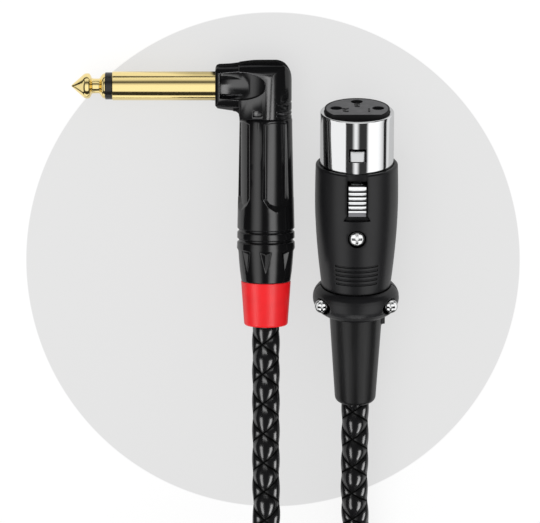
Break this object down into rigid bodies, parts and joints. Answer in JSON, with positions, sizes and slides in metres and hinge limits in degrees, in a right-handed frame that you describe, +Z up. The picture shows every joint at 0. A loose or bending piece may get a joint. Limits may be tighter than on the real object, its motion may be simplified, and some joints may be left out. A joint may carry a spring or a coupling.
{
  "type": "microphone lead",
  "caption": "Microphone lead: a female XLR connector with a sprung latch, a right-angle jack plug with a gold shaft and red ring, and the quilted black cable between them in a tied coil.",
  "frame": {"origin": "on the ground, under the middle of the two connectors' overall box", "axes": "+Y out of the XLR connector's nose, +Z up, -X along the jack plug's shaft towards its tip; the cable leaves both connectors towards -Y"},
  "size_m": [0.0856, 0.2202, 0.0284],
  "materials": {
    "nose_chrome": "polished",
    "latch_chrome": "polished",
    "screw_chrome": "polished",
    "pin_steel": "satin",
    "insert_plastic": "matte",
    "contact_gold": "gold plated",
    "handle_black": "satin",
    "boot_rubber": "satin",
    "cable_black": "glossy quilted sheath",
    "core_red": "satin",
    "core_white": "satin",
    "screen_copper": "bare copper",
    "plug_gold": "gold plated",
    "ring_black": "satin",
    "shell_black": "gloss",
    "ring_red": "satin",
    "chuck_plastic": "satin",
    "liner_plastic": "satin",
    "tie_fabric": "woven"
  },
  "bodies": {
    "lead": {"xlr_shell": "nose_chrome", "socket_insert": "insert_plastic", "contact_1": "contact_gold", "contact_2": "contact_gold", "contact_3": "contact_gold", "latch_pin": "pin_steel", "latch_spring": "pin_steel", "handle_housing": "handle_black", "insert_screw": "screw_chrome", "clamp_top": "handle_black", "clamp_base": "handle_black", "clamp_screws": "screw_chrome", "xlr_boot": "boot_rubber", "xlr_cable_end": "cable_black", "xlr_core_hot": "core_red", "xlr_core_cold": "core_white", "xlr_screen": "screen_copper", "plug_tip": "plug_gold", "tip_insulator": "ring_black", "plug_sleeve": "plug_gold", "elbow_housing": "shell_black", "barrel_shell": "shell_black", "red_ring": "ring_red", "cable_chuck": "chuck_plastic", "insulating_liner": "liner_plastic", "tip_lug": "plug_gold", "sleeve_lug": "plug_gold", "jack_cable_end": "cable_black", "jack_core_hot": "core_red", "jack_screen": "screen_copper", "cable_run_xlr": "cable_black", "cable_coil": "cable_black", "cable_run_jack": "cable_black", "coil_tie": "tie_fabric"},
    "latch": {"latch_lever": "latch_chrome"}
  },
  "joints": [
    {"name": "latch_press", "type": "hinge", "parent": "lead", "child": "latch", "pos_m": [0.0265, 0.0052, 0.0154], "axis": [-1, 0, 0], "range_deg": [0, 4.5], "stiffness_Nm_per_rad": 0.2, "springref_deg": -1.72, "deforming": ["latch_spring"]}
  ]
}
